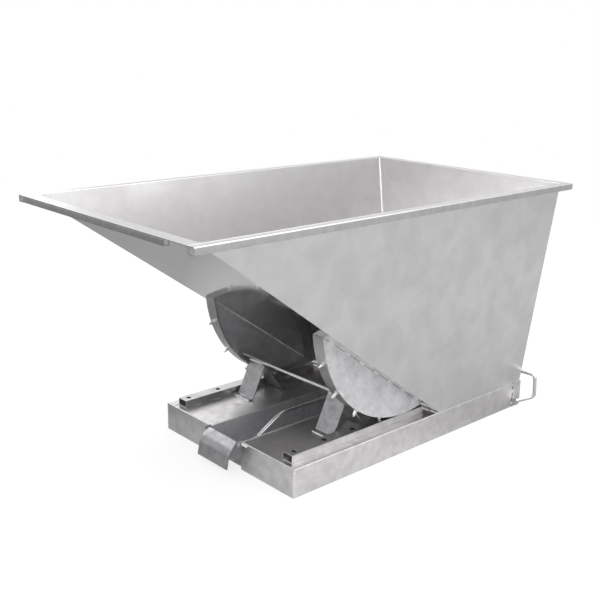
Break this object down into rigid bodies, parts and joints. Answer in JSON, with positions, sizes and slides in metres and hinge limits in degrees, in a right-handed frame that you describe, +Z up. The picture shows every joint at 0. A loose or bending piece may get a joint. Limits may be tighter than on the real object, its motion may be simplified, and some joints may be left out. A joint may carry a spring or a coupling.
{
  "type": "self-tipping forklift skip",
  "caption": "Open steel waste container with a sloping front that rolls forward on toothed rockers to tip, standing on a base with forklift pockets.",
  "frame": {"origin": "on the ground, under the middle of the whole skip's box", "axes": "+Z up, +X to the skip's right side, -Y towards the tipping lip and +Y towards the forklift"},
  "size_m": [1.07, 1.866, 1],
  "materials": {
    "container_sheet": "cold-rolled satin stainless sheet",
    "rim_steel": "brushed stainless tube",
    "base_steel": "satin stainless sheet with drawn marks",
    "cut_plate": "matt pickled stainless flat bar",
    "bright_rod": "bright drawn stainless bar"
  },
  "bodies": {
    "base": {"side_channel_left": "base_steel", "side_channel_right": "base_steel", "pocket_top_left": "base_steel", "pocket_top_right": "base_steel", "pocket_floor_left": "base_steel", "pocket_floor_right": "base_steel", "pocket_wall_left": "base_steel", "pocket_wall_right": "base_steel", "front_wall_left": "base_steel", "front_wall_right": "base_steel", "end_plate_left": "base_steel", "end_plate_right": "base_steel", "lane_floor": "base_steel", "rear_tie": "base_steel", "roll_rail_left": "base_steel", "roll_rail_right": "base_steel", "stop_bracket_left": "cut_plate", "stop_bracket_right": "cut_plate", "stop_rod": "bright_rod", "flap_pin": "bright_rod", "flap_lug_left": "cut_plate", "flap_lug_right": "cut_plate", "rod_guide": "cut_plate", "shaft_lug_left": "cut_plate", "shaft_lug_middle": "cut_plate", "shaft_lug_right": "cut_plate"},
    "roll_carriage": {"roll_centre_disc": "bright_rod"},
    "container": {"side_sheet_left": "container_sheet", "side_sheet_right": "container_sheet", "slope_sheet": "container_sheet", "bottom_sheet": "container_sheet", "rear_wall": "container_sheet", "rim_tube_left": "rim_steel", "rim_tube_right": "rim_steel", "rim_tube_rear": "rim_steel", "lip_flange": "rim_steel", "lip_bar": "rim_steel", "lip_filler": "rim_steel", "rocker_band_left": "cut_plate", "rocker_band_right": "cut_plate", "rocker_plate_left": "cut_plate", "rocker_plate_right": "cut_plate", "rocker_pin_left_1": "bright_rod", "rocker_pin_left_2": "bright_rod", "rocker_pin_left_3": "bright_rod", "rocker_pin_left_4": "bright_rod", "rocker_pin_left_5": "bright_rod", "rocker_pin_right_1": "bright_rod", "rocker_pin_right_2": "bright_rod", "rocker_pin_right_3": "bright_rod", "rocker_pin_right_4": "bright_rod", "rocker_pin_right_5": "bright_rod", "latch_catch": "cut_plate"},
    "release_shaft": {"release_shaft": "bright_rod", "release_handle": "bright_rod", "latch_hook": "cut_plate"},
    "release_rod": {"release_rod": "bright_rod"},
    "release_flap": {"release_flap": "cut_plate"}
  },
  "joints": [
    {"name": "roll_travel", "type": "slide", "parent": "base", "child": "roll_carriage", "axis": [0, -1, 0], "range_m": [0, 0.5313]},
    {"name": "tip", "type": "hinge", "parent": "roll_carriage", "child": "container", "pos_m": [0, 0.177, 0.5791], "axis": [1, 0, 0], "range_deg": [0, 69.5]},
    {"name": "release_turn", "type": "hinge", "parent": "base", "child": "release_shaft", "pos_m": [0, 0.92, 0.15], "axis": [1, 0, 0], "range_deg": [0, 25]},
    {"name": "release_slide", "type": "slide", "parent": "base", "child": "release_rod", "axis": [0, 1, 0], "range_m": [0, 0.0223]},
    {"name": "flap_swing", "type": "hinge", "parent": "base", "child": "release_flap", "pos_m": [0, -0.4405, 0.1065], "axis": [1, 0, 0], "range_deg": [0, 20]}
  ],
  "couplings": [
    {"joint": "roll_travel", "follows": "tip", "m_per_rad": 0.438},
    {"joint": "release_slide", "follows": "release_turn", "m_per_rad": 0.051},
    {"joint": "flap_swing", "follows": "release_turn", "ratio": 0.8}
  ]
}
